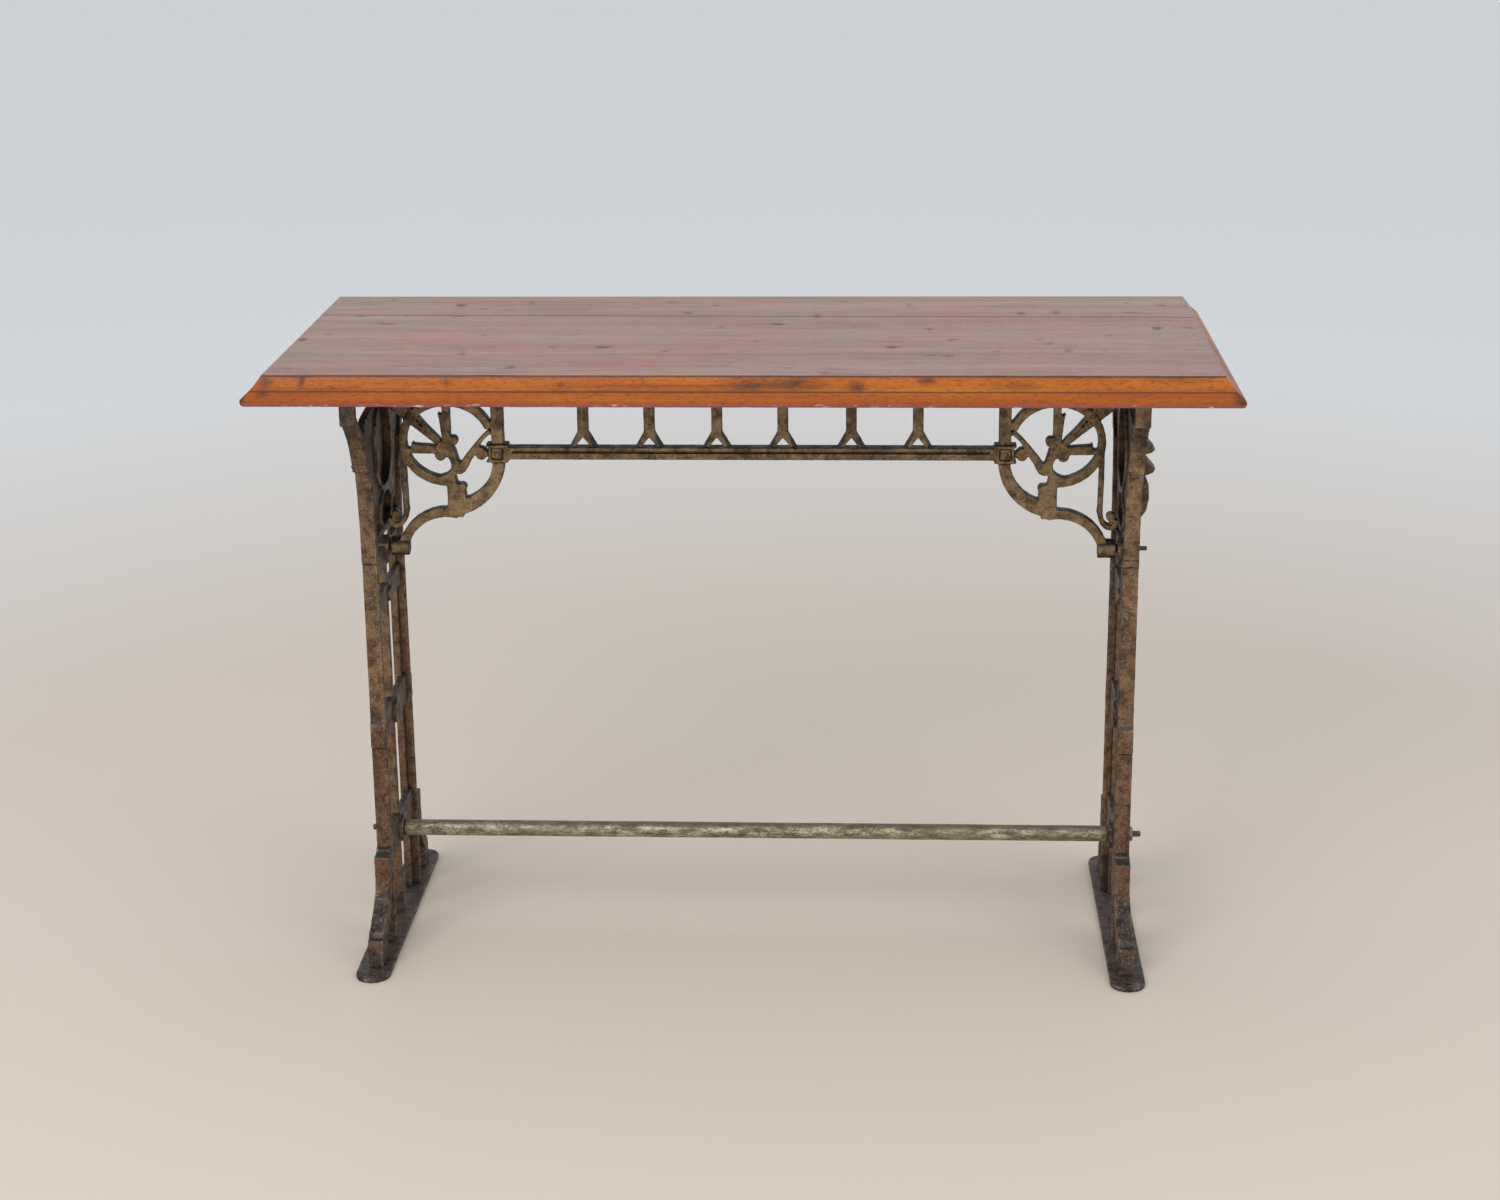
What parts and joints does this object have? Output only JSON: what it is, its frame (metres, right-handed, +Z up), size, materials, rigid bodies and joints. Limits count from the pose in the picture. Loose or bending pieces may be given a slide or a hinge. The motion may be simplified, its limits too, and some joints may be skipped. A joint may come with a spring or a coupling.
{
  "type": "side table",
  "caption": "Narrow side table: bevelled plank top on pierced cast-iron end frames, joined by an ornamental cast girt under the top and a round footrest tube near the floor.",
  "frame": {"origin": "on the floor, below the middle of the top", "axes": "+X along the length of the top to the right, +Y to the back, +Z up"},
  "size_m": [1.1, 0.49, 0.746],
  "materials": {
    "varnished_wood": "old satin varnish, worn and stained",
    "bronzed_iron": "aged bronze paint over cast iron",
    "dark_iron": "dark worn iron",
    "tube_steel": "mottled worn steel",
    "old_steel": "dulled, browned steel"
  },
  "bodies": {
    "root": {"top_board_front": "varnished_wood", "top_board_back": "varnished_wood", "end_frame_left": "bronzed_iron", "sole_left": "dark_iron", "end_frame_right": "bronzed_iron", "sole_right": "dark_iron", "back_girt": "bronzed_iron", "footrest_tube": "tube_steel", "tie_rod": "old_steel", "tie_washer_left": "old_steel", "tie_nut_left": "old_steel", "girt_stud_left": "old_steel", "girt_washer_left": "old_steel", "girt_nut_left": "old_steel", "frame_screw_left_front": "old_steel", "frame_screw_left_middle": "old_steel", "frame_screw_left_back": "old_steel", "tie_washer_right": "old_steel", "tie_nut_right": "old_steel", "girt_stud_right": "old_steel", "girt_washer_right": "old_steel", "girt_nut_right": "old_steel", "frame_screw_right_front": "old_steel", "frame_screw_right_middle": "old_steel", "frame_screw_right_back": "old_steel", "girt_screw_1": "old_steel", "girt_screw_2": "old_steel", "girt_screw_3": "old_steel", "girt_screw_4": "old_steel"}
  },
  "joints": []
}
